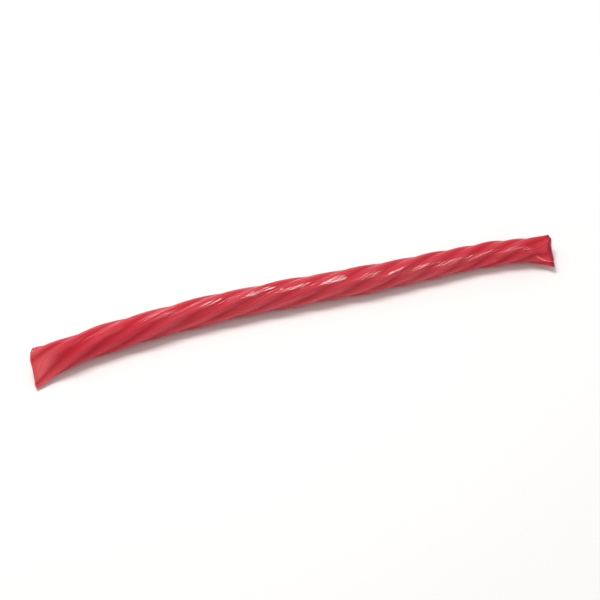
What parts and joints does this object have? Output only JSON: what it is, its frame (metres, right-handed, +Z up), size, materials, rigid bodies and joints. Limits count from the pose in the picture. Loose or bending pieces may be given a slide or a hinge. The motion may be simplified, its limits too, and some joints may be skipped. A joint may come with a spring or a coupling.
{
  "type": "red licorice twist",
  "caption": "Long soft candy stick with rounded lobes wound in a helix, slightly bent as it lies, its ends pinched flat and flared; picked up by hand and eaten.",
  "frame": {"origin": "centre of the stick's box in plan, at the level of the surface that it lies on", "axes": "+X along the stick towards its thinner end, +Z up, -Y towards the side that the picture shows"},
  "size_m": [0.1998, 0.0208, 0.0106],
  "materials": {
    "red_candy": "glossy, slightly translucent soft candy with fine ridges along its lobes"
  },
  "bodies": {
    "root": {"licorice_twist": "red_candy"}
  },
  "joints": []
}
